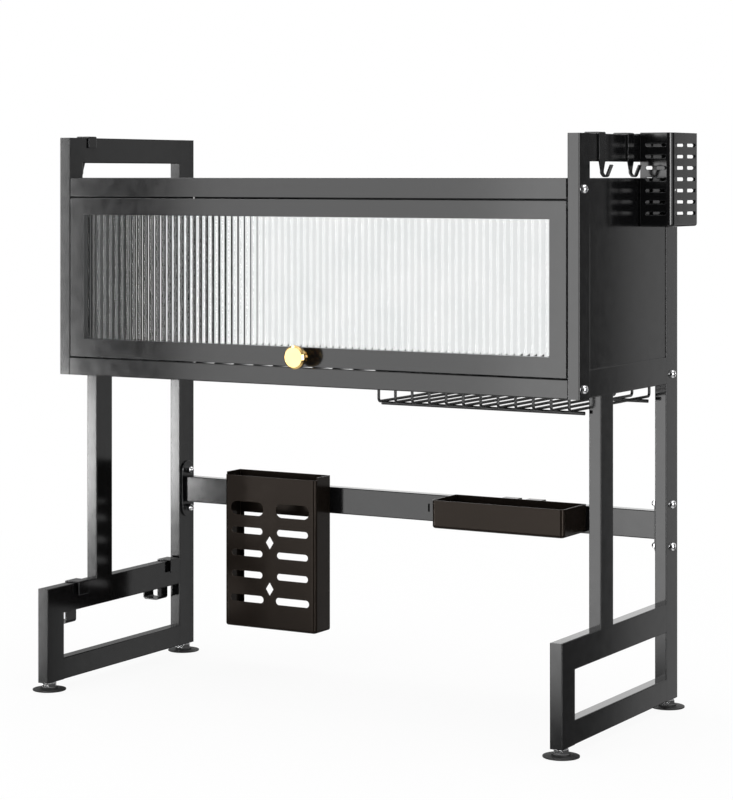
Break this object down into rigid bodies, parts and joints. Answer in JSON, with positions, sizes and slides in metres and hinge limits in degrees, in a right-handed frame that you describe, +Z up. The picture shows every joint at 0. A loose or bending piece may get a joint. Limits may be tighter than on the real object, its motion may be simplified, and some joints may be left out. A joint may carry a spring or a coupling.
{
  "type": "over-sink dish rack",
  "caption": "Free-standing over-sink dish rack: black steel side frames, glazed flip-up cabinet, plate and bowl racks, shelf and hanging accessories.",
  "frame": {"origin": "bottom centre of the whole object, on the worktop plane under the feet", "axes": "+X to the right seen from the front, +Y to the back, +Z up"},
  "size_m": [0.9268, 0.397, 0.815],
  "materials": {
    "black_coat": "satin",
    "bronze_coat": "satin",
    "black_wire": "satin",
    "chrome": "polished",
    "zinc_steel": "satin",
    "gold": "polished",
    "reeded_glass": "reeded",
    "black_rubber": "matte",
    "black_plastic": "matte",
    "magnet": "matte"
  },
  "bodies": {
    "frame": {"rear_leg_left": "black_coat", "front_foot_tube_left": "black_coat", "base_lower_rail_left": "black_coat", "base_upper_rail_left": "black_coat", "front_upright_left": "black_coat", "cabinet_post_left": "black_coat", "cabinet_side_rail_left": "black_coat", "guard_rail_left": "black_coat", "side_panel_left": "black_coat", "bar_end_plate_left": "black_coat", "rear_leg_right": "black_coat", "front_foot_tube_right": "black_coat", "base_lower_rail_right": "black_coat", "base_upper_rail_right": "black_coat", "front_upright_right": "black_coat", "cabinet_post_right": "black_coat", "cabinet_side_rail_right": "black_coat", "guard_rail_right": "black_coat", "side_panel_right": "black_coat", "bar_end_plate_right": "black_coat", "shelf_panel": "black_coat", "front_lower_rail": "black_coat", "rear_lower_rail": "black_coat", "rear_cross_bar": "black_coat", "frame_bolts": "chrome", "cap_nuts": "chrome", "shelf_clinch_nuts": "zinc_steel", "rail_end_nuts": "zinc_steel", "tube_end_caps": "black_plastic", "foot_inserts": "zinc_steel", "hinge_bushes": "black_plastic", "door_magnets": "magnet"},
    "door": {"door_frame": "black_coat", "glass_gasket": "black_rubber", "door_glass": "reeded_glass", "door_knob": "gold", "knob_screw": "zinc_steel", "hinge_blocks": "black_plastic", "hinge_pins": "zinc_steel"},
    "plate_rack": {"plate_rack_wires": "black_wire", "plate_rack_rods": "black_wire"},
    "bowl_rack": {"bowl_rack_wires": "black_wire", "bowl_rack_rods": "black_wire"},
    "holder": {"knife_holder": "bronze_coat"},
    "tray": {"sponge_tray": "bronze_coat"},
    "basket": {"utensil_basket": "black_coat"},
    "hook_left": {"utensil_hook_left": "black_coat"},
    "hook_front": {"utensil_hook_front": "black_coat"},
    "hook_rear": {"utensil_hook_rear": "black_coat"},
    "board_hook_a": {"board_hook_front": "black_coat"},
    "board_hook_b": {"board_hook_rear": "black_coat"},
    "foot_front_left": {"foot_pad_front_left": "black_rubber", "foot_stud_front_left": "chrome"},
    "foot_front_right": {"foot_pad_front_right": "black_rubber", "foot_stud_front_right": "chrome"},
    "foot_rear_left": {"foot_pad_rear_left": "black_rubber", "foot_stud_rear_left": "chrome"},
    "foot_rear_right": {"foot_pad_rear_right": "black_rubber", "foot_stud_rear_right": "chrome"}
  },
  "joints": [
    {"name": "door_hinge", "type": "hinge", "parent": "frame", "child": "door", "pos_m": [-0.0091, -0.131, 0.7164], "axis": [-1, 0, 0], "range_deg": [0, 90]},
    {"name": "plate_rack_lift", "type": "slide", "parent": "frame", "child": "plate_rack", "axis": [0, 0, 1], "range_m": [0, 0.03]},
    {"name": "bowl_rack_lift", "type": "slide", "parent": "frame", "child": "bowl_rack", "axis": [0, 0, 1], "range_m": [0, 0.03]},
    {"name": "knife_holder_slide", "type": "slide", "parent": "frame", "child": "holder", "axis": [1, 0, 0], "range_m": [-0.09, 0.1]},
    {"name": "sponge_tray_slide", "type": "slide", "parent": "frame", "child": "tray", "axis": [1, 0, 0], "range_m": [-0.1, 0.1]},
    {"name": "utensil_basket_slide", "type": "slide", "parent": "frame", "child": "basket", "axis": [0, 1, 0], "range_m": [0, 0.008]},
    {"name": "left_hook_slide", "type": "slide", "parent": "frame", "child": "hook_left", "axis": [0, 1, 0], "range_m": [-0.01, 0.22]},
    {"name": "front_hook_slide", "type": "slide", "parent": "frame", "child": "hook_front", "axis": [0, 1, 0], "range_m": [-0.022, 0.033]},
    {"name": "rear_hook_slide", "type": "slide", "parent": "frame", "child": "hook_rear", "axis": [0, 1, 0], "range_m": [-0.033, 0.024]},
    {"name": "front_board_hook_slide", "type": "slide", "parent": "frame", "child": "board_hook_a", "axis": [0, 1, 0], "range_m": [-0.06, 0.023]},
    {"name": "rear_board_hook_slide", "type": "slide", "parent": "frame", "child": "board_hook_b", "axis": [0, 1, 0], "range_m": [-0.145, 0.006]},
    {"name": "front_left_foot_level", "type": "slide", "parent": "frame", "child": "foot_front_left", "axis": [0, 0, 1], "range_m": [-0.01, 0]},
    {"name": "front_right_foot_level", "type": "slide", "parent": "frame", "child": "foot_front_right", "axis": [0, 0, 1], "range_m": [-0.01, 0]},
    {"name": "rear_left_foot_level", "type": "slide", "parent": "frame", "child": "foot_rear_left", "axis": [0, 0, 1], "range_m": [-0.01, 0]},
    {"name": "rear_right_foot_level", "type": "slide", "parent": "frame", "child": "foot_rear_right", "axis": [0, 0, 1], "range_m": [-0.01, 0]}
  ]
}
